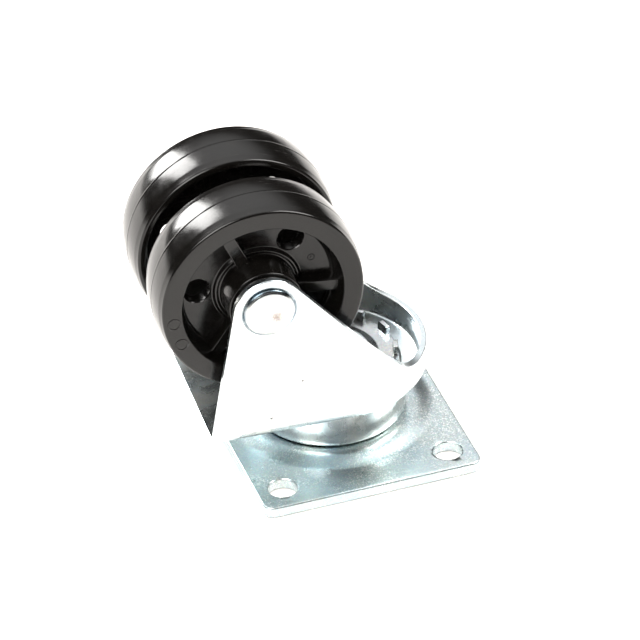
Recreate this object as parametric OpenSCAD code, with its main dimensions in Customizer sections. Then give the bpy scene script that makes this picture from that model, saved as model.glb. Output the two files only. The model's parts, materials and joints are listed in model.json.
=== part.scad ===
// Twin-wheel swivel plate caster, shown lying on its mounting plate with the wheels up.
// Origin: centre of the plate's mounting face. +Z runs along the swivel axis, up to the wheels.

/* [Mounting plate] */
// Plate size along X
plate_w = 69; // [67:0.5:74]
// Plate size along Y
plate_l = 85; // [84:0.5:92]
// Plate sheet thickness
plate_t = 3.5; // [3.3:0.1:3.6]
// Corner radius of the plate
plate_corner_r = 3.5; // [2:0.5:5]
// Bolt hole diameter
bolt_hole_d = 8.8; // [6:0.1:9]
// Distance between bolt holes along X
bolt_pitch_x = 52.4; // [50:0.1:53]
// Distance between bolt holes along Y
bolt_pitch_y = 67.3; // [66:0.1:68]
// Outer radius of the pressed dish
dish_r = 32.5; // [31:0.5:33]
// Radius where the dish becomes flat again
dish_top_r = 25.5; // [25:0.5:27]
// Height of the dish above the plate
dish_rise = 1.7; // [1.5:0.1:1.9]

/* [Swivel bearing] */
// Diameter of the balls that carry the load
load_ball_d = 5; // [4.4:0.1:5]
// Number of balls that carry the load
load_ball_count = 18; // [12:1:20]
// Radius of the load balls' circle
load_pitch_r = 17.5; // [17:0.1:18]
// Diameter of the balls that hold the yoke on
hold_ball_d = 4.8; // [4.4:0.1:4.8]
// Number of balls that hold the yoke on
hold_ball_count = 16; // [12:1:20]
// Radius of the holding balls' circle
hold_pitch_r = 16.5; // [16:0.1:17]
// Outer radius of the race drum
drum_r = 23.5; // [23:0.1:23.8]
// Sheet thickness of the race drum
drum_t = 2; // [1.8:0.1:2.1]
// Rounding at the drum's lower edge
drum_round_r = 1.4; // [1.2:0.1:2]
// Radius of the king post's shank
post_r = 8; // [7:0.1:8.5]
// Radius of the inner cone's flange
cone_r = 21.5; // [21.3:0.1:21.6]
// Number of ears bent up from the cone's rim
ear_count = 12; // [6:1:16]
// Width of each ear
ear_w = 4.6; // [3:0.1:5]
// Height of the ears above the cone's flange
ear_h = 2.7; // [2:0.1:3]

/* [Yoke] */
// Sheet thickness of the yoke
sheet_t = 2.1; // [1.9:0.1:2.3]
// Width over the outside of the legs
yoke_w = 60.2; // [60:0.1:61]
// Height of the web's lower face
web_z = 19.1; // [18.6:0.1:19.6]
// Inner radius of the bends
bend_r = 1.6; // [1.2:0.1:2]
// Height of the lip that joins the legs
lip_z = 29; // [27:0.5:31]
// Distance from the swivel axis to the web's straight edge
tip_x = 44.4; // [43:0.2:46]
// Radius of the legs' rounded ends
leg_top_r = 10.7; // [10:0.1:11.2]
// Where the leg's back edge would meet the lip
leg_heel_x = 19.3; // [18:0.1:20]
// Radius between the leg's back edge and the lip
heel_fillet_r = 12; // [8:0.5:14]
// Radius of the hole in the web
web_hole_r = 22.1; // [22:0.1:22.4]
// Swivel angle of the yoke as it lies
swivel_rest = -3; // [-180:1:180]

/* [Axle and wheels] */
// Distance from the swivel axis to the axle
axle_x = 25.3; // [24:0.1:26]
// Height of the axle
axle_z = 65.1; // [64:0.1:68]
// Radius of the axle rivet's shank
axle_r = 4; // [3.5:0.1:4.2]
// Radius of the axle rivet's heads
rivet_head_r = 7.9; // [7:0.1:8.5]
// Height of the axle rivet's heads
rivet_head_h = 1.8; // [1.6:0.1:2]
// Outer radius of the axle sleeve
sleeve_r = 5.5; // [5.2:0.1:5.8]
// Largest radius of the wheels
wheel_r = 31.8; // [31:0.1:32]
// Radius of the tread's crown across the wheel
crown_r = 48; // [44:1:60]
// Width of one wheel's tread
tread_w = 19.6; // [18.5:0.1:20]
// Gap between the two treads
tread_gap = 8.6; // [8:0.1:9]
// Inner radius of the wheel's side ring
ring_in_r = 24.7; // [24:0.1:25]
// Depth of the outer recess
recess_depth = 7.7; // [7:0.1:8]
// Thickness of the wheel's disc
disc_t = 4; // [3.5:0.1:5]
// Outer radius of the hub
hub_r = 11.2; // [10.8:0.1:11.5]
// Radius of the step round the hub
hub_step_r = 12.9; // [12.5:0.1:13.2]
// Diameter of the holes in the disc
disc_hole_d = 8; // [6:0.1:8.4]
// Radius of the circle of disc holes
disc_hole_pitch_r = 18.2; // [18:0.1:18.6]
// Width of the ribs
rib_w = 4.2; // [2:0.1:5]
// Height of the ribs above the disc
rib_h = 3.4; // [2:0.1:5]

/* [Hidden] */
run_gap = 0.05;         // running clearance, radial
seat_gap = 0.02;        // clearance of pieces that are fixed together
plate_gap = 0.3;        // air between the drum and the dish
part_t = 1.8;           // sheet round the ball grooves
groove_dip = 0.8;       // how deep the holding balls sit in their races
spoke_count = 3;        // ribs and holes in one wheel
hub_angle = 54;         // where the near wheel's first hole stands
far_turn = 18;          // how far the other wheel is turned from it
washer_t = 0.6;         // thrust washer thickness
washer_r = 9;           // thrust washer radius
spacer_r = 8.5;         // centre spacer radius
spacer_half = 1;        // half of the centre spacer's length
end_gap = 0.05;         // side play of each wheel at either end
step_h = 0.8;           // height of the step round the hub
wall_draft = 1.6;       // taper of the ring's inner wall
rim_wall = 3.2;         // rim thickness inside the tread, at the back
post_head_r = 12;       // head of the king post under the plate
post_head_gap = 0.3;    // how far that head stays above the mounting face
cone_hub_r = 11;        // sleeve of the inner cone round the post
cone_lift = 2.8;        // how far the cone's flange sits above the web's lower face
cone_t = 1.6;           // flange thickness of the inner cone
cone_edge = 0.5;        // bevel under the flange's rim
cone_crown = 1.2;       // rise of the cone's middle above its flange
crown_foot_r = 15.4;    // radius where that rise starts
crown_top_r = 12.8;     // radius of the cone's raised middle
ear_t = 1.3;            // sheet thickness of the ears
ear_inset = 0.1;        // how far the ears stand in from the flange's rim
ear_turn = 14.4;        // where the first ear stands
rivet_rim_h = 1;        // straight part of the rivet heads, under their dome
post_dome_r = 7.5;      // peened end of the king post
post_dome_h = 1.9;      // height of that end
race_in_r = 13;         // inner radius of the holding race
race_depth = 5.8;       // thickness of the holding race
race_skirt = 1.2;       // thickness of the race's skirt, up to the web
dish_draw = 1;          // how much smaller the dish is on its lower face
cut = 1;                // how far cutters run past a face
tall = 200;             // longer than anything it has to cut

dish_z = plate_t + dish_rise;
drum_z = dish_z + plate_gap;
drum_in = drum_r - drum_t;
load_z = (dish_z + drum_z) / 2;
load_groove_r = load_ball_d / 2 + run_gap;
hold_groove_r = hold_ball_d / 2 + run_gap;
web_top = web_z + sheet_t;
wall_out = yoke_w / 2;
wall_in = wall_out - sheet_t;
cone_z = web_z + cone_lift;
hold_z = cone_z + groove_dip - hold_groove_r;
race_top = hold_z - hold_groove_r + groove_dip;
cone_top = cone_z + cone_t;
leg_top_z = axle_z + leg_top_r;
hub_out = wall_in - washer_t - 2 * end_gap;
hub_in = spacer_half + end_gap;
face_y = tread_gap / 2 + tread_w;
back_y = tread_gap / 2;
floor_y = face_y - recess_depth;
tread_mid = tread_gap / 2 + tread_w / 2;
bore_r = sleeve_r + run_gap;

load_names = [for (i = [1 : load_ball_count]) str("load_ball_", i)];
hold_names = [for (i = [1 : hold_ball_count]) str("hold_ball_", i)];

$fn = 96;

// Point where a line from p touches a circle round c; side is 1 or -1.
function tangent_point(c, r, p, side) =
    let (d = p - c, span = norm(d), base = atan2(d[1], d[0]))
    c + r * [cos(base + side * acos(r / span)), sin(base + side * acos(r / span))];

// Rectangle in the plane of a lathe profile, from radius a to b and height low to high.
module band(a, b, low, high) {
    translate([a, low]) square([b - a, high - low]);
}

// Places its children on the fork's own axes, turned about the swivel.
module on_fork() {
    rotate([0, 0, swivel_rest]) children();
}

// Turns a lathe profile about the axle; side -1 is the near wheel, 1 the far one.
module on_axle(side) {
    on_fork()
        translate([-axle_x, 0, axle_z])
            rotate([side > 0 ? -90 : 90, 0, 0])
                children();
}

// Flat plate outline with round corners.
module plate_outline() {
    square([plate_w - 2 * plate_corner_r, plate_l], center = true);
    square([plate_w, plate_l - 2 * plate_corner_r], center = true);
    for (x = [-1, 1], y = [-1, 1])
        translate([x * (plate_w / 2 - plate_corner_r), y * (plate_l / 2 - plate_corner_r)])
            circle(r = plate_corner_r);
}

// Half section of the pressed dish with its ball groove.
module dish_profile() {
    difference() {
        union() {
            polygon([
                [post_r + seat_gap, dish_rise],
                [dish_top_r - dish_draw, dish_rise],
                [dish_r - dish_draw, 0],
                [dish_r, 0],
                [dish_r, plate_t],
                [dish_top_r, dish_z],
                [post_r + seat_gap, dish_z],
            ]);
            intersection() {
                translate([load_pitch_r, load_z]) circle(r = load_groove_r + part_t);
                band(0, dish_r, 0, dish_z);
            }
        }
        translate([load_pitch_r, load_z]) circle(r = load_groove_r);
    }
}

module top_plate() {
    color("gainsboro")
        difference() {
            union() {
                difference() {
                    linear_extrude(height = plate_t) plate_outline();
                    translate([0, 0, -cut]) cylinder(h = plate_t + 2 * cut, r = dish_r);
                }
                rotate_extrude() dish_profile();
            }
            for (x = [-1, 1], y = [-1, 1])
                translate([x * bolt_pitch_x / 2, y * bolt_pitch_y / 2, -cut])
                    cylinder(h = plate_t + 2 * cut, d = bolt_hole_d);
        }
}

// Solid rivet that ties the plate and the inner cone together.
module king_post() {
    sphere_r = (post_dome_r * post_dome_r + post_dome_h * post_dome_h) / (2 * post_dome_h);
    post_top = cone_top + cone_crown;
    color("silver") {
        rotate_extrude() {
            band(0, post_head_r, post_head_gap, dish_rise);
            band(0, post_r, dish_rise, post_top);
            intersection() {
                translate([0, post_top + post_dome_h - sphere_r]) circle(r = sphere_r);
                band(0, post_dome_r, post_top, post_top + post_dome_h);
            }
        }
    }
}

// Spool on the king post; its flange rides on the holding balls and has ears round its rim.
module inner_cone() {
    ear_angle = 2 * asin(ear_w / 2 / cone_r);
    ear_out = cone_r - ear_inset;
    color("silver") {
        rotate_extrude()
            difference() {
                union() {
                    band(post_r + seat_gap, cone_hub_r, dish_z, cone_z);
                    polygon([
                        [post_r + seat_gap, cone_z],
                        [cone_r - cone_edge, cone_z],
                        [cone_r, cone_z + cone_edge],
                        [cone_r, cone_top],
                        [crown_foot_r, cone_top],
                        [crown_top_r, cone_top + cone_crown],
                        [post_r + seat_gap, cone_top + cone_crown],
                    ]);
                }
                translate([hold_pitch_r, hold_z]) circle(r = hold_groove_r);
            }
        for (i = [0 : ear_count - 1])
            rotate([0, 0, ear_turn + i * 360 / ear_count - ear_angle / 2])
                rotate_extrude(angle = ear_angle)
                    band(ear_out - ear_t, ear_out, cone_z + cone_t / 2, cone_top + ear_h);
    }
}

// Drawn cup under the web; its floor rides on the load balls.
module race_drum() {
    color("gainsboro")
        on_fork() rotate_extrude()
            difference() {
                union() {
                    band(drum_in, drum_r, drum_z + drum_round_r, web_z);
                    band(race_in_r, drum_r - drum_round_r, drum_z, drum_z + drum_t);
                    intersection() {
                        translate([drum_r - drum_round_r, drum_z + drum_round_r])
                            circle(r = drum_round_r);
                        band(drum_r - drum_round_r, drum_r, drum_z, drum_z + drum_round_r);
                    }
                    intersection() {
                        translate([load_pitch_r, load_z]) circle(r = load_groove_r + part_t);
                        band(0, drum_r, drum_z, web_z);
                    }
                }
                translate([load_pitch_r, load_z]) circle(r = load_groove_r);
                band(drum_in - drum_t, drum_in, drum_z + drum_t, web_z);
            }
}

// Hardened ring pressed into the drum, under the holding balls.
module hold_race() {
    color("darkgray")
        on_fork() rotate_extrude()
            difference() {
                union() {
                    band(race_in_r, drum_in - seat_gap, race_top - race_depth, race_top);
                    band(drum_in - race_skirt, drum_in - seat_gap, race_top, web_z);
                }
                translate([hold_pitch_r, hold_z]) circle(r = hold_groove_r);
            }
}

// Bent sheet section of the yoke, from the centre line out to one wall.
module channel_profile() {
    corner = bend_r + sheet_t;
    translate([0, web_z]) square([wall_out - corner, sheet_t]);
    translate([wall_in, web_z + corner]) square([sheet_t, leg_top_z - web_z]);
    intersection() {
        difference() {
            translate([wall_out - corner, web_z + corner]) circle(r = corner);
            translate([wall_out - corner, web_z + corner]) circle(r = bend_r);
        }
        band(wall_out - corner, wall_out, web_z, web_z + corner);
    }
}

// Side view of what is cut away from the bent sheet, round the legs and above the lip.
module side_cutaway() {
    axle = [-axle_x, axle_z];
    toe = [-tip_x, web_z];
    heel = [leg_heel_x, lip_z];
    below = web_z - cut;
    far = wall_out + 2 * cut;
    top_left = tangent_point(axle, leg_top_r, toe, -1);
    top_right = tangent_point(axle, leg_top_r, heel, 1);
    slope = atan2(top_right[1] - heel[1], heel[0] - top_right[0]);
    reach = heel_fillet_r * tan(slope / 2);
    leg_tangent = heel - [reach * cos(slope), -reach * sin(slope)];
    lip_tangent = heel + [reach, 0];
    difference() {
        translate([-tip_x - 2 * cut, below]) square([tip_x + far + 2 * cut, leg_top_z]);
        translate(axle) circle(r = leg_top_r);
        polygon([
            toe, [-tip_x, below - cut], [far + cut, below - cut], [far + cut, lip_z],
            lip_tangent, leg_tangent, top_right, axle, top_left,
        ]);
    }
    translate(lip_tangent + [0, heel_fillet_r]) circle(r = heel_fillet_r);
}

module yoke() {
    color("gainsboro")
        on_fork()
            difference() {
                union() {
                    rotate([0, 0, -90]) rotate_extrude(angle = 180) channel_profile();
                    rotate([90, 0, -90])
                        linear_extrude(height = tip_x + cut) {
                            channel_profile();
                            mirror([1, 0]) channel_profile();
                        }
                }
                rotate([90, 0, 0])
                    translate([0, 0, -tall / 2])
                        linear_extrude(height = tall) side_cutaway();
                translate([0, 0, web_z - cut]) cylinder(h = sheet_t + 2 * cut, r = web_hole_r);
                translate([-axle_x, 0, axle_z])
                    rotate([90, 0, 0])
                        cylinder(h = tall, r = axle_r + seat_gap, center = true);
            }
}

// Rivet through both legs, with a low domed head at each end.
module axle_rivet() {
    dome_h = rivet_head_h - rivet_rim_h;
    sphere_r = (rivet_head_r * rivet_head_r + dome_h * dome_h) / (2 * dome_h);
    head_top = wall_out + rivet_head_h;
    color("silver")
        for (side = [-1, 1])
            on_axle(side)
                rotate_extrude() {
                    band(0, axle_r, 0, wall_out);
                    intersection() {
                        translate([0, head_top - sphere_r]) circle(r = sphere_r);
                        band(0, rivet_head_r, wall_out, head_top);
                    }
                }
}

// Steel tube between the legs that both wheels turn on.
module axle_sleeve() {
    half = wall_in - seat_gap;
    color("darkgray")
        on_axle(1)
            rotate_extrude() band(axle_r + seat_gap, sleeve_r, -half, half);
}

// Washer between one leg and the hub end beside it.
module washer(side) {
    color("lightgray")
        on_axle(side)
            rotate_extrude()
                band(sleeve_r + seat_gap, washer_r, wall_in - washer_t, wall_in - seat_gap);
}

module centre_spacer() {
    color("darkgray")
        on_axle(1)
            rotate_extrude() band(sleeve_r + seat_gap, spacer_r, -spacer_half, spacer_half);
}

// Half section of a wheel, height measured along the axle from the middle of the caster.
module wheel_profile() {
    band(bore_r, hub_r, hub_in, hub_out);
    band(bore_r, hub_step_r, floor_y, floor_y + step_h);
    band(bore_r, ring_in_r, floor_y - disc_t, floor_y);
    intersection() {
        translate([wheel_r - crown_r, tread_mid]) circle(r = crown_r);
        polygon([
            [ring_in_r, face_y],
            [ring_in_r - wall_draft, floor_y - disc_t],
            [wheel_r - rim_wall - wall_draft, floor_y - disc_t],
            [wheel_r - rim_wall, back_y],
            [wheel_r, back_y],
            [wheel_r, face_y],
        ]);
    }
}

module wheel(side, turn) {
    color([0.09, 0.09, 0.09])
        on_axle(side)
            difference() {
                union() {
                    rotate_extrude() wheel_profile();
                    for (i = [0 : spoke_count - 1])
                        rotate([0, 0, turn + (i + 0.5) * 360 / spoke_count])
                            translate([hub_r - cut, -rib_w / 2, floor_y - cut])
                                cube([ring_in_r - hub_r, rib_w, rib_h + cut]);
                }
                for (i = [0 : spoke_count - 1])
                    rotate([0, 0, turn + i * 360 / spoke_count])
                        translate([disc_hole_pitch_r, 0, floor_y - disc_t - cut])
                            cylinder(h = disc_t + 2 * cut, d = disc_hole_d);
            }
}

// One ball of a row, centred at the given radius and height.
module ball(i, count, pitch_r, z, d) {
    color("lightsteelblue")
        rotate([0, 0, (i - 1) * 360 / count])
            translate([pitch_r, 0, z]) sphere(d = d, $fn = 32);
}

top_plate();
king_post();
inner_cone();
race_drum();
hold_race();
yoke();
axle_rivet();
axle_sleeve();
washer(-1);  // washer_near
washer(1);  // washer_far
centre_spacer();
wheel(-1, hub_angle);  // wheel_near
wheel(1, hub_angle + far_turn);  // wheel_far
for (i = [1 : load_ball_count])
    ball(i, load_ball_count, load_pitch_r, load_z, load_ball_d);
for (i = [1 : hold_ball_count])
    ball(i, hold_ball_count, hold_pitch_r, hold_z, hold_ball_d);
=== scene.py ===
import json
import math
import bmesh
import bpy
from mathutils import Matrix, Vector


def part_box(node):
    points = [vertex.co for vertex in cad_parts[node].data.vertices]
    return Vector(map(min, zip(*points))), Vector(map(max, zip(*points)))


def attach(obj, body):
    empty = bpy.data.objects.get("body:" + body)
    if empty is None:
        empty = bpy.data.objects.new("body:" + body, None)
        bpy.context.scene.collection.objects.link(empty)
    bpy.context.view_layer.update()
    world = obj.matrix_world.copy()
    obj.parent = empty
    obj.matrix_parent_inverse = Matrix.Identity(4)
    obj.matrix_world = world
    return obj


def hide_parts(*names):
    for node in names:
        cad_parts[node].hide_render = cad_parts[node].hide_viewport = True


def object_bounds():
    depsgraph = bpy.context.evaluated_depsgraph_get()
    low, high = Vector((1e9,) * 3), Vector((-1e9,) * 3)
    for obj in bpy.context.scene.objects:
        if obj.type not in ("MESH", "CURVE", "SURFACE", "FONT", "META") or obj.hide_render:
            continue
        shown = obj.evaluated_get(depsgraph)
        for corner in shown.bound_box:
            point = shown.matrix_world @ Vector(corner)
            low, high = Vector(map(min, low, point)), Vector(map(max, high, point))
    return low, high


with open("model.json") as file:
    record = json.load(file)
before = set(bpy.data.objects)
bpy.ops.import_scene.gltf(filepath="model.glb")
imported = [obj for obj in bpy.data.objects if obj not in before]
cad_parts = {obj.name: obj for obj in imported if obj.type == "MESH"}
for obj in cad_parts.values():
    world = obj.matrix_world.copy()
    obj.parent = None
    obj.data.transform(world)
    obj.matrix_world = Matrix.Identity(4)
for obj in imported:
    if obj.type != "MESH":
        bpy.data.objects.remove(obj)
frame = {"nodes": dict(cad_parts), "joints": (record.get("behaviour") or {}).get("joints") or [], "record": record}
cad_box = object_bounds()
MM = 0.001
JOINTS = {j["name"]: j for j in frame["joints"]}


# ---------------------------------------------------------------- sizes, in millimetres

PLATE_T = 3.5            # mounting plate sheet
PLATE_CORNER = 3.5       # its corner radius in plan
PLATE_ROLL = 0.6         # rounding of its upper edge
DISH_R = 32.5            # foot of the pressed dish
DISH_TOP_R = 25.5        # where the dish is flat again
DISH_RISE = 1.7
POST_R = 8.0             # shank of the king post
RACE_IN_R = 13.0         # inner radius of the drum's floor
HOLE_R = 4.4             # bolt holes
BALL_GROOVE = 2.55       # ball groove radius
LOAD_PITCH = 17.5        # radius of the load balls' circle
GROOVE_WALL = 1.8        # sheet round a ball groove
HOLD_PITCH = 16.5        # radius of the holding balls' circle
DRUM_T = 2.0             # drum sheet
DRUM_ROUND = 1.4         # rounding of the drum's lower edge
LEG_Y = 30.1             # outside face of a leg, from the middle
LEG_T = 2.1
RIVET_R = 7.9            # axle rivet head
HEAD_H = 1.8
AXLE_R = 4.0
BORE_R = 5.55            # wheel bore
HUB_R = 11.2
STEP_R = 12.9
RING_IN_R = 24.7         # inner edge of the wheel's side ring
FACE_Y = 23.9            # outer face of a wheel's ring, from the middle
BACK_Y = 4.3             # inner face of its tread
FLOOR_Y = 16.2           # floor of the outer recess
DISC_T = 4.0
HUB_OUT = 27.3
HUB_IN = 1.05
WHEEL_R = 31.8
CROWN_R = 48.0           # curvature of the tread across the wheel
NEAR_TURN = 54.0         # angle of the near wheel's first disc hole
FAR_TURN = 18.0          # how far the other wheel is turned from it
DISC_HOLE_PITCH = 18.2   # radius of the disc holes' circle
MARK_PITCH = 27.5        # where the raised marks stand on the side ring
PIN_PITCH = 18.1         # where the ejector mark stands on the disc
RIB_HALF, RIB_H = 2.1, 3.4
EAR_COUNT = 12           # ears round the inner cone's rim
EAR_TURN = 14.4          # where the first one stands
EAR_W, EAR_T, EAR_H = 4.6, 1.4, 2.7
LEG_NICKS = ((-15.9, 37.8), (-25.8, 26.2))   # small marks on the near leg, along it and up


# ---------------------------------------------------------------- placing and mesh helpers

swing = JOINTS["near_wheel_spin"]
axle_at = Vector(swing["pos_m"])
fork_turn = math.atan2(-swing["axis"][0], swing["axis"][1])
ON_FORK = Matrix.Rotation(fork_turn, 4, "Z")


def on_axle(side):
    """Places a lathe axis along the axle, pointing out of the near side (-1) or the far side (1)."""
    turned = Matrix.Rotation(math.radians(-90.0 * side), 4, "X")
    return Matrix.Translation(axle_at) @ ON_FORK @ turned


def fillet(corner, before, after, radius, steps=6):
    """Points of the arc that rounds one corner of an outline."""
    c, a, b = Vector(corner), Vector(before), Vector(after)
    u, v = (a - c).normalized(), (b - c).normalized()
    half = u.angle(v) / 2
    reach = min(radius / math.tan(half), (a - c).length * 0.49, (b - c).length * 0.49)
    radius = reach * math.tan(half)
    centre = c + (u + v).normalized() * (radius / math.sin(half))
    start, end = c + u * reach - centre, c + v * reach - centre
    turn = math.atan2(start.x * end.y - start.y * end.x, start.dot(end))
    points = []
    for i in range(steps + 1):
        a = turn * i / steps
        x = start.x * math.cos(a) - start.y * math.sin(a)
        y = start.x * math.sin(a) + start.y * math.cos(a)
        points.append((centre.x + x, centre.y + y))
    return points


def rounded(outline):
    """An outline of (x, y, corner radius) as points, each corner rounded by an arc."""
    points = []
    count = len(outline)
    for i, (x, y, r) in enumerate(outline):
        if r > 0:
            points += fillet((x, y), outline[i - 1][:2], outline[(i + 1) % count][:2], r)
        else:
            points.append((x, y))
    return points


def mesh_object(name, bm, place, sharp=32.0):
    """Turns a bmesh in millimetres into a smooth-shaded object in metres."""
    bmesh.ops.remove_doubles(bm, verts=bm.verts, dist=1e-4)
    bmesh.ops.recalc_face_normals(bm, faces=bm.faces)
    mesh = bpy.data.meshes.new(name)
    bm.to_mesh(mesh)
    bm.free()
    mesh.transform(place @ Matrix.Scale(MM, 4))
    mesh.shade_smooth()
    mesh.set_sharp_from_angle(angle=math.radians(sharp))
    obj = bpy.data.objects.new(name, mesh)
    bpy.context.scene.collection.objects.link(obj)
    return obj


def spin(bm, outline, segments, middle=(0.0, 0.0), low=0.0):
    """Sweeps an outline of (radius, height) round an upright axis."""
    rings = []
    for i in range(segments):
        a = 2 * math.pi * i / segments
        c, s = math.cos(a), math.sin(a)
        rings.append([bm.verts.new((middle[0] + r * c, middle[1] + r * s, low + z)) for r, z in outline])
    for i in range(segments):
        here, there = rings[i], rings[(i + 1) % segments]
        for k in range(len(outline)):
            m = (k + 1) % len(outline)
            quad = [here[k], there[k], there[m], here[m]]
            if outline[k][0] < 1e-6:
                quad = [here[k], there[m], here[m]]
            elif outline[m][0] < 1e-6:
                quad = [here[k], there[k], here[m]]
            bm.faces.new(quad)


def lathe(name, outline, place, segments):
    """A body of revolution about the Z axis of its place."""
    bm = bmesh.new()
    spin(bm, outline, segments)
    return mesh_object(name, bm, place)


def apply_modifiers(obj):
    """Writes the object's modifiers into its mesh."""
    graph = bpy.context.evaluated_depsgraph_get()
    mesh = bpy.data.meshes.new_from_object(obj.evaluated_get(graph))
    obj.modifiers.clear()
    old = obj.data
    obj.data = mesh
    bpy.data.meshes.remove(old)


def carve(obj, cutters, operation="DIFFERENCE"):
    """Cuts the cutters from the object, or joins them to it, and removes them."""
    bpy.context.view_layer.update()
    for cutter in cutters:
        mod = obj.modifiers.new("carve", "BOOLEAN")
        mod.object = cutter
        mod.operation = operation
        mod.solver = "EXACT"
    apply_modifiers(obj)
    for cutter in cutters:
        bpy.data.objects.remove(cutter)


def shade(obj, sharp=32.0):
    obj.data.shade_smooth()
    obj.data.set_sharp_from_angle(angle=math.radians(sharp))


def piece(obj, body, slot_name, *nodes):
    """Says which body the piece rides on, its material slot and the CAD nodes that it stands for."""
    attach(obj, body)
    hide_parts(*nodes)
    obj.data.materials.clear()
    obj.data.materials.append(MATERIALS[slot_name])
    return obj


# ---------------------------------------------------------------- materials

class Nodes:
    """Short calls for building one material's node tree."""

    def __init__(self, name):
        self.material = bpy.data.materials.new(name)
        self.material.use_nodes = True
        self.tree = self.material.node_tree
        self.shader = self.tree.nodes["Principled BSDF"]
        self.place = self.tree.nodes.new("ShaderNodeTexCoord").outputs["Object"]

    def link(self, a, b):
        self.tree.links.new(a, b)

    def along_axle(self):
        """Position measured from the axle, with Z along it."""
        node = self.tree.nodes.new("ShaderNodeMapping")
        node.vector_type = "TEXTURE"
        frame_of_axle = on_axle(-1)
        node.inputs["Location"].default_value = frame_of_axle.translation
        node.inputs["Rotation"].default_value = frame_of_axle.to_euler()
        self.link(self.place, node.inputs["Vector"])
        return node.outputs["Vector"]

    def from_axle(self):
        """Distance from the axle's centre line."""
        flat = self.tree.nodes.new("ShaderNodeVectorMath")
        flat.operation = "MULTIPLY"
        flat.inputs[1].default_value = (1.0, 1.0, 0.0)
        self.link(self.along_axle(), flat.inputs[0])
        node = self.tree.nodes.new("ShaderNodeVectorMath")
        node.operation = "LENGTH"
        self.link(flat.outputs["Vector"], node.inputs[0])
        return node.outputs["Value"]

    def stretch(self, scale):
        node = self.tree.nodes.new("ShaderNodeMapping")
        node.inputs["Scale"].default_value = scale
        self.link(self.place, node.inputs["Vector"])
        return node.outputs["Vector"]

    def noise(self, scale, detail=4.0, rough=0.55, at=None, twist=0.0):
        node = self.tree.nodes.new("ShaderNodeTexNoise")
        node.inputs["Scale"].default_value = scale
        node.inputs["Detail"].default_value = detail
        node.inputs["Roughness"].default_value = rough
        node.inputs["Distortion"].default_value = twist
        self.link(at or self.place, node.inputs["Vector"])
        return node.outputs["Fac"]

    def cells(self, scale):
        node = self.tree.nodes.new("ShaderNodeTexVoronoi")
        node.inputs["Scale"].default_value = scale
        self.link(self.place, node.inputs["Vector"])
        return node

    def ramp(self, value, stops):
        node = self.tree.nodes.new("ShaderNodeValToRGB")
        band = node.color_ramp.elements
        while len(band) < len(stops):
            band.new(0.5)
        for element, (at, colour) in zip(band, stops):
            element.position = at
            element.color = (*colour, 1.0) if isinstance(colour, tuple) else (colour,) * 3 + (1.0,)
        self.link(value, node.inputs["Fac"])
        return node.outputs["Color"]

    def remap(self, value, low, high, out_low, out_high):
        node = self.tree.nodes.new("ShaderNodeMapRange")
        limits = {"From Min": low, "From Max": high, "To Min": out_low, "To Max": out_high}
        for name, number in limits.items():
            node.inputs[name].default_value = number
        self.link(value, node.inputs["Value"])
        return node.outputs["Result"]

    def math(self, kind, a, b):
        node = self.tree.nodes.new("ShaderNodeMath")
        node.operation = kind
        for socket, value in zip(node.inputs, (a, b)):
            if isinstance(value, (int, float)):
                socket.default_value = value
            else:
                self.link(value, socket)
        return node.outputs[0]

    def mix(self, factor, a, b, kind="MIX"):
        node = self.tree.nodes.new("ShaderNodeMix")
        node.data_type = "RGBA"
        node.blend_type = kind
        for socket, value in ((node.inputs[0], factor), (node.inputs[6], a), (node.inputs[7], b)):
            if isinstance(value, (int, float)):
                socket.default_value = value
            elif isinstance(value, tuple):
                socket.default_value = (*value, 1.0)
            else:
                self.link(value, socket)
        return node.outputs[2]

    def bump(self, height, depth, strength=1.0, under=None):
        node = self.tree.nodes.new("ShaderNodeBump")
        node.inputs["Strength"].default_value = strength
        node.inputs["Distance"].default_value = depth
        self.link(height, node.inputs["Height"])
        if under is not None:
            self.link(under, node.inputs["Normal"])
        return node.outputs["Normal"]

    def spot(self, at, radius):
        """1 at a point of the surface, falling to 0 at the radius, with a ragged edge."""
        node = self.tree.nodes.new("ShaderNodeVectorMath")
        node.operation = "DISTANCE"
        self.link(self.place, node.inputs[0])
        node.inputs[1].default_value = at
        ragged = self.math("MULTIPLY_ADD", self.noise(2600.0, 5.0), radius * 1.8)
        ragged.node.inputs[2].default_value = radius * -0.9
        far = self.math("ADD", node.outputs["Value"], ragged)
        return self.remap(far, radius, radius * 0.2, 0.0, 1.0)

    def finish(self, colour, roughness, normal):
        self.link(colour, self.shader.inputs["Base Color"])
        self.link(roughness, self.shader.inputs["Roughness"])
        self.link(normal, self.shader.inputs["Normal"])
        return self.material


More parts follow.
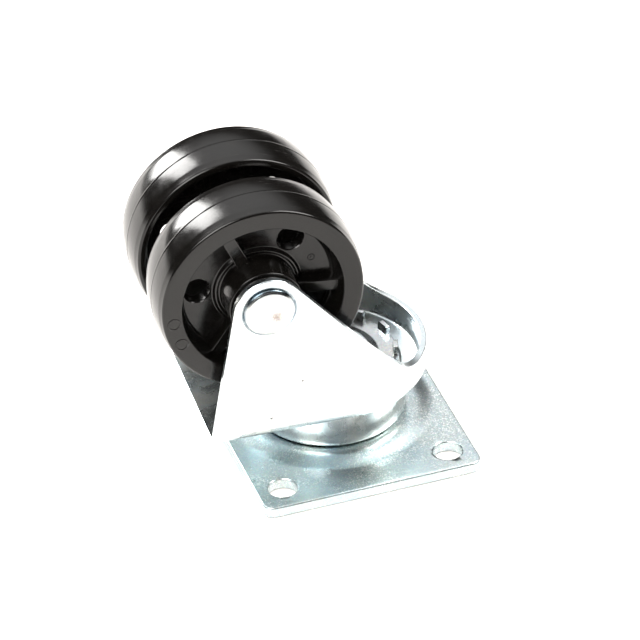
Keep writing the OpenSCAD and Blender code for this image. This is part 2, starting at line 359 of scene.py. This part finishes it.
def zinc(name, light, dark, smooth, rough, orange_peel, glint, rust_at=None, nicks=()):
    """Bright zinc plate on pressed steel: drifts, crystals, rub marks, dull patches and a painted shade ring round
    the rivet head's rim.
    """
    n = Nodes(name)
    drift = n.noise(55.0, 3.0, 0.5, twist=0.6)
    cool = (light[0] * 0.95, light[1] * 0.98, light[2] * 1.03)
    warm = (light[0] * 1.04, light[1], light[2] * 0.96)
    tint = n.ramp(drift, [(0.3, cool), (0.48, light), (0.6, warm), (0.72, light)])
    crystals = n.cells(2600.0).outputs["Color"]
    colour = n.mix(0.10, tint, crystals, "OVERLAY")
    patches = n.remap(n.noise(90.0, 3.0), 0.42, 0.6, 0.15, 1.0)
    glints = n.math("MULTIPLY", n.remap(crystals, 0.66, 0.74, 0.0, glint), patches)
    colour = n.mix(glints, colour, (0.96, 0.97, 0.98))
    pits = n.math("MULTIPLY", n.remap(crystals, 0.26, 0.20, 0.0, glint), patches)
    colour = n.mix(pits, colour, dark)
    dull = n.remap(n.noise(130.0, 6.0, 0.62), 0.52, 0.74, 0.0, 1.0)
    colour = n.mix(n.math("MULTIPLY", dull, 0.30), colour, dark)
    rubs = n.noise(1.0, 5.0, 0.6, at=n.stretch((260.0, 2600.0, 1500.0)))
    marks = n.remap(rubs, 0.58, 0.70, 0.0, 1.0)
    colour = n.mix(n.math("MULTIPLY", marks, 0.22), colour, (0.93, 0.95, 0.97))
    # Painted shade: a dark blue-grey ring on the sheet just round the rivet head's rim, where the head meets the
    # leg.
    rim = n.math("ABSOLUTE", n.math("SUBTRACT", n.from_axle(), (RIVET_R + 0.05) * MM), 0.0)
    near_rim = n.remap(rim, 0.00065, 0.0003, 0.0, 1.0)
    rim_shade = n.math("MULTIPLY", near_rim, n.remap(n.noise(300.0), 0.35, 0.6, 0.55, 0.95))
    colour = n.mix(rim_shade, colour, (0.10, 0.14, 0.17))
    roughness = n.remap(n.noise(160.0, 3.0, 0.5), 0.3, 0.7, smooth, rough)
    roughness = n.math("ADD", roughness, n.math("MULTIPLY", dull, 0.04))
    if rust_at is not None:
        rust = n.math("MULTIPLY", n.spot(*rust_at), 0.6)
        colour = n.mix(rust, colour, (0.20, 0.11, 0.07))
        roughness = n.math("ADD", roughness, n.math("MULTIPLY", rust, 0.3))
    for nick in nicks:
        colour = n.mix(n.spot(*nick), colour, (0.05, 0.045, 0.04))
    peel = n.bump(n.noise(420.0, 3.0, 0.5), orange_peel, 0.6)
    grain = n.bump(n.noise(2400.0, 4.0, 0.6), 0.000012, 0.5, under=peel)
    scratched = n.bump(marks, 0.000008, 0.5, under=grain)
    n.shader.inputs["Metallic"].default_value = 1.0
    return n.finish(colour, roughness, scratched)


def turned_steel(name, base, smooth, rough):
    """Plain turned steel with fine lathe lines across its axis, oil-dark in places."""
    n = Nodes(name)
    oil = n.noise(180.0, 5.0, 0.6)
    tones = [(at, tuple(share * c for c in base)) for at, share in ((0.3, 0.7), (0.6, 1.0), (0.8, 1.15))]
    colour = n.ramp(oil, tones)
    lines = n.noise(1.0, 4.0, 0.6, at=n.stretch((500.0, 500.0, 5200.0)))
    roughness = n.remap(lines, 0.3, 0.7, smooth, rough)
    cut = n.bump(lines, 0.00001, 0.6)
    n.shader.inputs["Metallic"].default_value = 1.0
    return n.finish(colour, roughness, cut)


def black_plastic(name):
    """Gloss black moulded plastic: faint flow marks, circumferential tread scuffs, dust and a fine skin."""
    n = Nodes(name)
    n.place = n.along_axle()
    flow = n.noise(70.0, 4.0, 0.55, twist=1.2)
    tones = [(0.3, (0.0030, 0.0027, 0.0024)), (0.6, (0.0045, 0.0040, 0.0035)), (0.8, (0.007, 0.006, 0.005))]
    colour = n.ramp(flow, tones)
    scuff = n.noise(1.0, 6.0, 0.65, at=n.stretch((90.0, 90.0, 1600.0)))
    scuffed = n.remap(scuff, 0.60, 0.74, 0.0, 1.0)
    colour = n.mix(n.math("MULTIPLY", scuffed, 0.25), colour, (0.030, 0.028, 0.025))
    specks = n.remap(n.cells(700.0).outputs["Distance"], 0.10, 0.02, 0.0, 1.0)
    dust = n.math("MULTIPLY", specks, n.remap(n.noise(150.0, 3.0), 0.5, 0.7, 0.0, 0.6))
    colour = n.mix(dust, colour, (0.10, 0.095, 0.085))
    roughness = n.remap(n.noise(210.0, 6.0, 0.6), 0.3, 0.7, 0.12, 0.24)
    roughness = n.math("ADD", roughness, n.math("MULTIPLY", scuffed, 0.12))
    skin = n.bump(n.noise(900.0, 3.0, 0.5), 0.000012, 0.5)
    wave = n.bump(n.noise(95.0, 2.0, 0.5), 0.00012, 0.35, under=skin)
    n.shader.inputs["Specular IOR Level"].default_value = 0.36
    return n.finish(colour, roughness, wave)


def floor_paper(name):
    """Matt white sweep with the slightest fibre and tone drift."""
    n = Nodes(name)
    colour = n.ramp(n.noise(3.0, 3.0), [(0.3, (0.92, 0.895, 0.875)), (0.7, (0.94, 0.92, 0.90))])
    fibre = n.noise(1800.0, 4.0, 0.6)
    n.shader.inputs["Specular IOR Level"].default_value = 0.1
    return n.finish(colour, n.remap(fibre, 0.3, 0.7, 0.85, 0.95), n.bump(fibre, 0.00002, 0.2))


RUST_SPOT = (on_axle(-1) @ Vector((0.0018, -0.0013, (LEG_Y + HEAD_H) * MM)), 0.0021)
NICKS = [(ON_FORK @ (Vector((x, -LEG_Y, z)) * MM), 0.0005) for x, z in LEG_NICKS]
MATERIALS = {
    "zinc_plate": zinc("zinc_plate", (0.52, 0.61, 0.63), (0.40, 0.48, 0.48), 0.27, 0.31, 0.000005, 0.75),
    "zinc_sheet": zinc(
        "zinc_sheet", (0.74, 0.80, 0.81), (0.62, 0.67, 0.67), 0.22, 0.34, 0.00001, 0.35, nicks=NICKS),
    "zinc_bright": zinc(
        "zinc_bright", (0.56, 0.59, 0.60), (0.38, 0.41, 0.42), 0.18, 0.28, 0.000015, 0.25, RUST_SPOT),
    "steel": turned_steel("steel", (0.42, 0.43, 0.45), 0.18, 0.38),
    "ball": turned_steel("ball", (0.66, 0.67, 0.69), 0.05, 0.12),
    "wheel": black_plastic("wheel"),
}


# ---------------------------------------------------------------- mounting plate

def ray_to_outline(angle, inset, half_w, half_l):
    """Distance from the middle to the plate's rounded outline, drawn in by inset."""
    w, l, r = half_w - inset, half_l - inset, max(PLATE_CORNER - inset, 0.05)
    c, s = abs(math.cos(angle)), abs(math.sin(angle))
    reach = min(w / max(c, 1e-9), l / max(s, 1e-9))
    x, y = reach * c, reach * s
    if x > w - r and y > l - r:
        dot = c * (w - r) + s * (l - r)
        gap = (w - r) ** 2 + (l - r) ** 2 - r * r
        reach = dot + math.sqrt(dot * dot - gap)
    return reach


def dish_height(r):
    """Height of the sheet above its flat part at radius r, as one smooth draw."""
    t = min(max((DISH_R - r) / (DISH_R - DISH_TOP_R), 0.0), 1.0)
    return DISH_RISE * t * t * (3 - 2 * t)


def groove(r, pitch, centre_z, flat_z, radius, above):
    """Height of a surface at radius r where a ball groove is pressed into it."""
    gap = radius * radius - (r - pitch) ** 2
    if gap <= 0:
        return flat_z
    edge = math.sqrt(gap)
    return min(flat_z, centre_z - edge) if above else max(flat_z, centre_z + edge)


def make_top_plate():
    low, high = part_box("top_plate")
    half_w, half_l = (high.x - low.x) / 2 / MM, (high.y - low.y) / 2 / MM
    dish_top = PLATE_T + DISH_RISE
    groove_z = dish_top + 0.15
    inner = [POST_R + 0.02 + (DISH_R - POST_R) * i / 72 for i in range(73)]
    bm = bmesh.new()
    segments = 360
    sides = []
    for i in range(segments):
        angle = 2 * math.pi * i / segments
        c, s = math.cos(angle), math.sin(angle)
        path = []
        for r in inner:
            top = PLATE_T + dish_height(r)
            path.append((r, groove(r, LOAD_PITCH, groove_z, top, BALL_GROOVE, True)))
        for k in range(1, 9):
            r = DISH_R + (ray_to_outline(angle, PLATE_ROLL, half_w, half_l) - DISH_R) * k / 8
            path.append((r, PLATE_T))
        for k in range(1, 9):
            a = math.pi / 2 * k / 8
            inset, drop = PLATE_ROLL * (1 - math.sin(a)), PLATE_ROLL * (1 - math.cos(a))
            path.append((ray_to_outline(angle, inset, half_w, half_l), PLATE_T - drop))
        for k in range(5):
            a = math.pi / 2 * k / 4
            inset = 0.3 * (1 - math.cos(a))
            path.append((ray_to_outline(angle, inset, half_w, half_l), 0.3 * (1 - math.sin(a))))
        for k in range(7, -1, -1):
            path.append((DISH_R + (ray_to_outline(angle, 0.3, half_w, half_l) - DISH_R) * k / 8, 0.0))
        for r in reversed(inner[:-1]):
            under = dish_height(min(r + 1.0, DISH_R))
            path.append((r, groove(r, LOAD_PITCH, groove_z, under, BALL_GROOVE + GROOVE_WALL, True)))
        sides.append([bm.verts.new((r * c, r * s, z)) for r, z in path])
    count = len(sides[0])
    for i in range(segments):
        here, there = sides[i], sides[(i + 1) % segments]
        for k in range(count):
            m = (k + 1) % count
            bm.faces.new([here[k], there[k], there[m], here[m]])
    plate = mesh_object("plate_pressing", bm, Matrix.Identity(4), 50.0)
    cutter = rounded([(0, -1, 0), (HOLE_R + 0.5, -1, 0), (HOLE_R + 0.5, -0.001, 0), (HOLE_R + 0.15, 0.05, 0),
                      (HOLE_R, 0.3, 0.2), (HOLE_R, PLATE_T - 0.25, 0.3), (HOLE_R + 0.3, PLATE_T + 0.02, 0.1),
                      (HOLE_R + 0.3, PLATE_T + 1, 0), (0, PLATE_T + 1, 0)])
    holes = []
    pattern = next(m for m in frame["record"]["mounts"] if m["name"] == "plate_holes")["dims"]
    for x in (-0.5, 0.5):
        for y in (-0.5, 0.5):
            at = Vector((x * pattern["spacing_x_mm"], y * pattern["spacing_y_mm"], 0)) * MM
            holes.append(lathe("hole_cutter", cutter, Matrix.Translation(at), 64))
    carve(plate, holes)
    shade(plate, 50.0)
    piece(plate, "mount", "zinc_plate", "top_plate")


# ---------------------------------------------------------------- swivel bearing

def ear(turn, out, top):
    """One ear standing on the cone's rim, with rounded upper corners and a slightly curled root."""
    half = EAR_W / 2
    front = rounded([(-half, -0.9, 0), (half, -0.9, 0), (half - 0.1, EAR_H, 0.5), (0.1 - half, EAR_H, 0.5)])
    steps = [(out - EAR_T - 0.35, 0.0), (out - EAR_T, 0.12), (out - 0.12, 0.12), (out, 0.0)]
    bm = bmesh.new()
    rows = []
    for r, inset in steps:
        row = []
        for y, z in front:
            y, z = y * (1 - inset / half), z - inset if z > 0 else z
            reach = r if r > out - EAR_T - 0.2 or z < 0.5 else out - EAR_T
            row.append(bm.verts.new((math.sqrt(max(reach * reach - y * y, 0.0)), y, top + z)))
        rows.append(row)
    for here, there in zip(rows, rows[1:]):
        for k in range(len(front)):
            m = (k + 1) % len(front)
            bm.faces.new([here[k], there[k], there[m], here[m]])
    bm.faces.new(rows[0])
    bm.faces.new(list(reversed(rows[-1])))
    bmesh.ops.rotate(bm, cent=(0, 0, 0), matrix=Matrix.Rotation(turn, 3, "Z"), verts=bm.verts)
    return mesh_object("ear", bm, Matrix.Identity(4))


def make_bearing():
    drum_low, drum_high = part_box("race_drum")
    z0, z1 = drum_low.z / MM, drum_high.z / MM
    r = (drum_high.x - drum_low.x) / 2 / MM
    middle = (PLATE_T + DISH_RISE + z0) / 2
    floor_line = []
    for i in range(49):
        at = RACE_IN_R + (r - DRUM_ROUND - 0.8 - RACE_IN_R) * i / 48
        floor_line.append((at, groove(at, LOAD_PITCH, middle, z0, BALL_GROOVE, False)))
    roof_line = []
    for i in range(49):
        at = RACE_IN_R + (r - DRUM_T - 0.6 - RACE_IN_R) * i / 48
        roof_line.append((at, groove(at, LOAD_PITCH, middle, z0 + DRUM_T, BALL_GROOVE + GROOVE_WALL, False)))
    foot = fillet((r, z0), (r - 6, z0), (r, z1), DRUM_ROUND, 12)
    rim = [(r, z1 - 1.3), (r - 0.25, z1 - 1.05), (r - 0.25, z1 - 0.55), (r, z1 - 0.3), (r, z1)]
    outline = floor_line + foot + rim + [(r - DRUM_T, z1), (r - DRUM_T, z0 + DRUM_T + 0.6)]
    outline += list(reversed(roof_line))
    piece(lathe("drawn_drum", outline, ON_FORK, 256), "fork", "zinc_sheet", "race_drum")

    low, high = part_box("inner_cone")
    out, top = (high.x - low.x) / 2 / MM, high.z / MM - EAR_H
    under = top - 1.6
    outline = rounded([
        (POST_R + 0.02, low.z / MM, 0), (11.0, low.z / MM, 0.3), (11.0, under, 0.5), (out - 0.1, under, 0.5),
        (out, top - 0.4, 0.1), (out - 0.35, top, 0.3), (15.6, top - 0.05, 1.6), (13.0, top + 1.2, 1.4),
        (10.2, top + 1.2, 0.8), (8.7, top + 0.85, 0.2), (POST_R + 0.02, top + 0.85, 0),
    ])
    cone = lathe("inner_race_cone", outline, Matrix.Identity(4), 256)
    centre = under + 0.8 - (BALL_GROOVE - 0.1)
    ring = [(HOLD_PITCH + (BALL_GROOVE - 0.1) * math.cos(math.pi * k / 24),
             centre + (BALL_GROOVE - 0.1) * math.sin(math.pi * k / 24)) for k in range(48)]
    carve(cone, [lathe("groove_cutter", ring, Matrix.Identity(4), 128)])
    turns = [math.radians(EAR_TURN + 360 * i / EAR_COUNT) for i in range(EAR_COUNT)]
    carve(cone, [ear(turn, out, top) for turn in turns], "UNION")
    shade(cone, 40.0)
    piece(cone, "mount", "zinc_bright", "inner_cone")

    low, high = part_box("king_post")
    head, tip, seat = 12.0, high.z / MM, high.z / MM - 1.9
    outline = rounded([
        (0, low.z / MM, 0), (head, low.z / MM, 0.4), (head, DISH_RISE, 0.3), (POST_R, DISH_RISE, 0.2),
        (POST_R, seat - 0.36, 0.0), (7.5, seat, 0.3), (6.9, seat + 0.9, 0.9), (3.4, tip - 0.12, 1.5),
        (1.2, tip, 0.6), (0.5, tip - 0.35, 0.2), (0, tip - 0.4, 0),
    ])
    piece(lathe("peened_king_post", outline, Matrix.Identity(4), 160), "mount", "zinc_bright", "king_post")


# ---------------------------------------------------------------- yoke

def make_yoke():
    """The bent sheet, with the slightly rounded edges that pressing and barrel plating leave."""
    bm = bmesh.new()
    bm.from_mesh(frame["nodes"]["yoke"].data)
    bmesh.ops.scale(bm, vec=(1 / MM,) * 3, verts=bm.verts)
    bmesh.ops.remove_doubles(bm, verts=bm.verts, dist=2e-3)
    bmesh.ops.dissolve_limit(bm, angle_limit=math.radians(0.6), verts=bm.verts, edges=bm.edges)
    yoke = mesh_object("yoke_pressing", bm, Matrix.Identity(4), 40.0)
    soften = yoke.modifiers.new("soften", "BEVEL")
    soften.width = 0.4 * MM
    soften.segments = 3
    soften.limit_method = "ANGLE"
    soften.angle_limit = math.radians(40)
    soften.harden_normals = True
    soften.use_clamp_overlap = True
    apply_modifiers(yoke)
    piece(yoke, "fork", "zinc_sheet", "yoke")


# ---------------------------------------------------------------- axle

def make_axle():
    out = LEG_Y
    head = [
        (0.0, out + HEAD_H, 0), (5.6, out + HEAD_H - 0.08, 2.0), (RIVET_R - 0.9, out + HEAD_H - 0.42, 1.0),
        (RIVET_R, out + 0.72, 0.55), (RIVET_R - 0.05, out + 0.12, 0.15), (RIVET_R - 0.3, out + 0.02, 0.1),
        (AXLE_R, out + 0.02, 0), (AXLE_R, 0.0, 0), (0.0, 0.0, 0),
    ]
    for side, name in ((-1, "rivet_head_near"), (1, "rivet_head_far")):
        half = lathe(name, rounded(head), on_axle(side), 160)
        piece(half, "fork", "zinc_bright", "axle_rivet")


# ---------------------------------------------------------------- wheels

def tread_radius(y, top=WHEEL_R - 0.08):
    """Radius of the crowned tread at a distance from the caster's middle."""
    mid = (FACE_Y + BACK_Y) / 2
    return top - CROWN_R + math.sqrt(CROWN_R ** 2 - (y - mid) ** 2)


def wheel_outline():
    mid = (FACE_Y + BACK_Y) / 2
    rim_back, rim_front = tread_radius(BACK_Y), tread_radius(FACE_Y)
    start = [
        (BORE_R, HUB_OUT, 0.3), (BORE_R, HUB_IN, 0.3), (HUB_R, HUB_IN, 0.5), (HUB_R, FLOOR_Y - DISC_T, 1.2),
        (WHEEL_R - 4.8, FLOOR_Y - DISC_T, 2.0), (WHEEL_R - 3.2, BACK_Y, 0.4), (rim_back, BACK_Y, 0.9),
        (rim_back + 0.25, BACK_Y + 2.0, 0),
    ]
    tread = []
    for i in range(25):
        y = BACK_Y + 2.6 + (FACE_Y - BACK_Y - 5.2) * i / 24
        tread.append((tread_radius(y), y, 0))
    ridge = [(tread_radius(mid), mid - 0.22, 0), (WHEEL_R, mid, 0), (tread_radius(mid), mid + 0.22, 0)]
    tread = [p for p in tread if p[1] < mid - 0.3] + ridge + [p for p in tread if p[1] > mid + 0.3]
    end = [
        (rim_front + 0.25, FACE_Y - 2.0, 0), (rim_front, FACE_Y, 0.9), (RING_IN_R, FACE_Y, 0.45),
        (RING_IN_R - 0.9, FLOOR_Y + 2.5, 0.6), (RING_IN_R - 1.3, FLOOR_Y, 2.2), (STEP_R + 0.7, FLOOR_Y, 0.7),
        (STEP_R - 0.1, FLOOR_Y + 0.95, 0.8), (HUB_R + 0.15, FLOOR_Y + 0.8, 0.6), (HUB_R, HUB_OUT - 0.5, 0.4),
        (HUB_R - 1.3, HUB_OUT - 0.45, 0.2), (HUB_R - 1.45, HUB_OUT, 0.2),
    ]
    return rounded(start + tread + end)


def rib_block(name, place, turn):
    """One rib from the hub to the rim, drafted and with a softened top edge."""
    foot, crest = RIB_HALF + 0.15, RIB_HALF - 0.1
    section = rounded([(-foot, -1.0, 0), (foot, -1.0, 0), (crest, RIB_H, 0.45), (-crest, RIB_H, 0.45)])
    bm = bmesh.new()
    ends = []
    for x in (HUB_R - 0.8, RING_IN_R - 0.55):
        ends.append([bm.verts.new((x, y, FLOOR_Y + z)) for y, z in section])
    for k in range(len(section)):
        m = (k + 1) % len(section)
        bm.faces.new([ends[0][k], ends[1][k], ends[1][m], ends[0][m]])
    bm.faces.new(ends[0])
    bm.faces.new(list(reversed(ends[1])))
    bmesh.ops.rotate(bm, cent=(0, 0, 0), matrix=Matrix.Rotation(turn, 3, "Z"), verts=bm.verts)
    return mesh_object(name, bm, place)


def bead(ring_r, half_w, height):
    """Section of a raised ring, as twelve points of an ellipse."""
    angles = [math.pi * k / 6 for k in range(12)]
    return [(ring_r + half_w * math.cos(a), height * math.sin(a)) for a in angles]


def around(radius, turn):
    """A point at a radius and an angle."""
    return radius * math.cos(turn), radius * math.sin(turn)


def make_wheel(side, name, body, node, turn):
    place = on_axle(side)
    wheel = lathe(name, wheel_outline(), place, 256)
    first = math.radians(turn)
    third = 2 * math.pi / 3
    carve(wheel, [rib_block("rib", place, first + third * (k + 0.5)) for k in range(3)], "UNION")
    hole = rounded([(0, -6, 0), (4.5, -6, 0), (4.5, -DISC_T - 0.02, 0.0), (4.0, -DISC_T + 0.3, 0.3),
                    (4.0, -0.3, 0.25), (4.3, 0.02, 0.1), (4.3, 1.5, 0), (0, 1.5, 0)])
    holes = []
    for k in range(3):
        at = Vector((*around(DISC_HOLE_PITCH, first + third * k), FLOOR_Y)) * MM
        holes.append(lathe("hole_cutter", hole, place @ Matrix.Translation(at), 48))
    carve(wheel, holes)
    shade(wheel)
    piece(wheel, body, "wheel", node)
    bm = bmesh.new()
    for offset in (132.5, 149.0):
        spot = around(MARK_PITCH, first + math.radians(offset))
        spin(bm, bead(1.8, 0.26, 0.26 * 0.7), 40, spot, FACE_Y)
    at = around(PIN_PITCH, first + math.radians(-32.5))
    spin(bm, bead(1.0, 0.18, 0.12), 40, at, FLOOR_Y)
    spin(bm, [(0.0, 0.2), (0.3, 0.16), (0.45, -0.1), (0.0, -0.1)], 24, at, FLOOR_Y)
    marks = mesh_object(name + "_marks", bm, place)
    piece(marks, body, "wheel")


# ---------------------------------------------------------------- stage, light and camera

def heading(azimuth, elevation):
    """Direction at an azimuth clockwise from +Y and an elevation, both in degrees."""
    a, e = math.radians(azimuth), math.radians(elevation)
    return Vector((math.sin(a) * math.cos(e), math.cos(a) * math.cos(e), math.sin(e)))


def area_light(name, azimuth, elevation, distance, size, radiance, colour, lean=0.0):
    """A soft box that faces the caster, with the given brightness; lean tips its top to the left."""
    data = bpy.data.lights.new(name, "AREA")
    data.shape = "RECTANGLE"
    data.size, data.size_y = size
    data.energy = radiance * size[0] * size[1] * math.pi
    data.color = colour
    light = bpy.data.objects.new(name, data)
    bpy.context.scene.collection.objects.link(light)
    out = heading(azimuth, elevation)
    light.location = Vector((0.0, 0.0, 0.05)) + out * distance
    facing = out.to_track_quat("Z", "Y").to_matrix() @ Matrix.Rotation(math.radians(-lean), 3, "Z")
    light.rotation_euler = facing.to_euler()


def make_stage():
    bm = bmesh.new()
    bmesh.ops.create_grid(bm, x_segments=8, y_segments=8, size=6.0)
    mesh = bpy.data.meshes.new("studio_floor")
    bm.to_mesh(mesh)
    bm.free()
    floor = bpy.data.objects.new("studio_floor", mesh)
    bpy.context.scene.collection.objects.link(floor)
    floor.location.z = cad_box[0].z - 0.0002
    mesh.materials.append(floor_paper("floor_paper"))

    world = bpy.data.worlds.new("studio")
    bpy.context.scene.world = world
    world.use_nodes = True
    tree = world.node_tree
    backdrop = tree.nodes["Background"]
    toward = tree.nodes.new("ShaderNodeVectorMath")
    toward.operation = "DOT_PRODUCT"
    tree.links.new(tree.nodes.new("ShaderNodeTexCoord").outputs["Generated"], toward.inputs[0])
    toward.inputs[1].default_value = heading(10.0, 65.0)
    fade = tree.nodes.new("ShaderNodeValToRGB")
    band = fade.color_ramp.elements
    stops = ((0.0, 0.015), (0.66, 0.018), (0.71, 0.05), (0.766, 0.28),
             (0.82, 0.45), (0.87, 0.66), (0.94, 0.80), (1.0, 0.95))
    while len(band) < len(stops):
        band.new(0.5)
    for element, (at, tone) in zip(band, stops):
        element.position = at
        element.color = (tone, tone, tone, 1.0)
    tree.links.new(toward.outputs["Value"], fade.inputs["Fac"])
    tree.links.new(fade.outputs["Color"], backdrop.inputs["Color"])
    backdrop.inputs["Strength"].default_value = 2.0

    area_light("strip", -26.0, 26.5, 1.2, (0.37, 0.82), 21.0, (1.0, 0.99, 0.97), 14.0)
    area_light("key", -128.0, 48.0, 1.2, (0.70, 0.70), 11.0, (1.0, 0.98, 0.95))
    area_light("fill", 104.0, 50.0, 1.2, (0.70, 0.70), 11.0, (1.0, 0.98, 0.95))


def make_camera():
    """Long lens, looking down at the caster from its front left."""
    azimuth, elevation, roll = math.radians(17.93), math.radians(35.56), math.radians(-1.73)
    aim = Vector((13.7, 48.55, 0.0)) * MM
    distance = 1.8458
    level = math.cos(elevation)
    ahead = Vector((math.sin(azimuth) * level, math.cos(azimuth) * level, -math.sin(elevation)))
    right = Vector((math.cos(azimuth), -math.sin(azimuth), 0.0))
    up = right.cross(ahead)
    right, up = (right * math.cos(roll) + up * math.sin(roll), up * math.cos(roll) - right * math.sin(roll))
    data = bpy.data.cameras.new("camera")
    data.sensor_width = 36.0
    data.lens = 333.5
    data.clip_start, data.clip_end = 0.05, 50.0
    camera = bpy.data.objects.new("camera", data)
    bpy.context.scene.collection.objects.link(camera)
    turn = Matrix((right, up, -ahead)).transposed().to_4x4()
    camera.matrix_world = Matrix.Translation(aim - ahead * distance) @ turn
    bpy.context.scene.camera = camera


# ---------------------------------------------------------------- build

make_top_plate()
make_bearing()
make_yoke()
make_axle()
make_wheel(-1, "wheel_near_moulding", "near_wheel", "wheel_near", NEAR_TURN)
make_wheel(1, "wheel_far_moulding", "far_wheel", "wheel_far", NEAR_TURN + FAR_TURN)

for part in frame["record"]["subparts"]:
    node = frame["nodes"][part["node"]]
    if not node.hide_render:
        node.data.materials.clear()
        node.data.materials.append(MATERIALS[part["material_slot"]])

make_stage()
make_camera()
bpy.context.scene.view_settings.view_transform = "Standard"
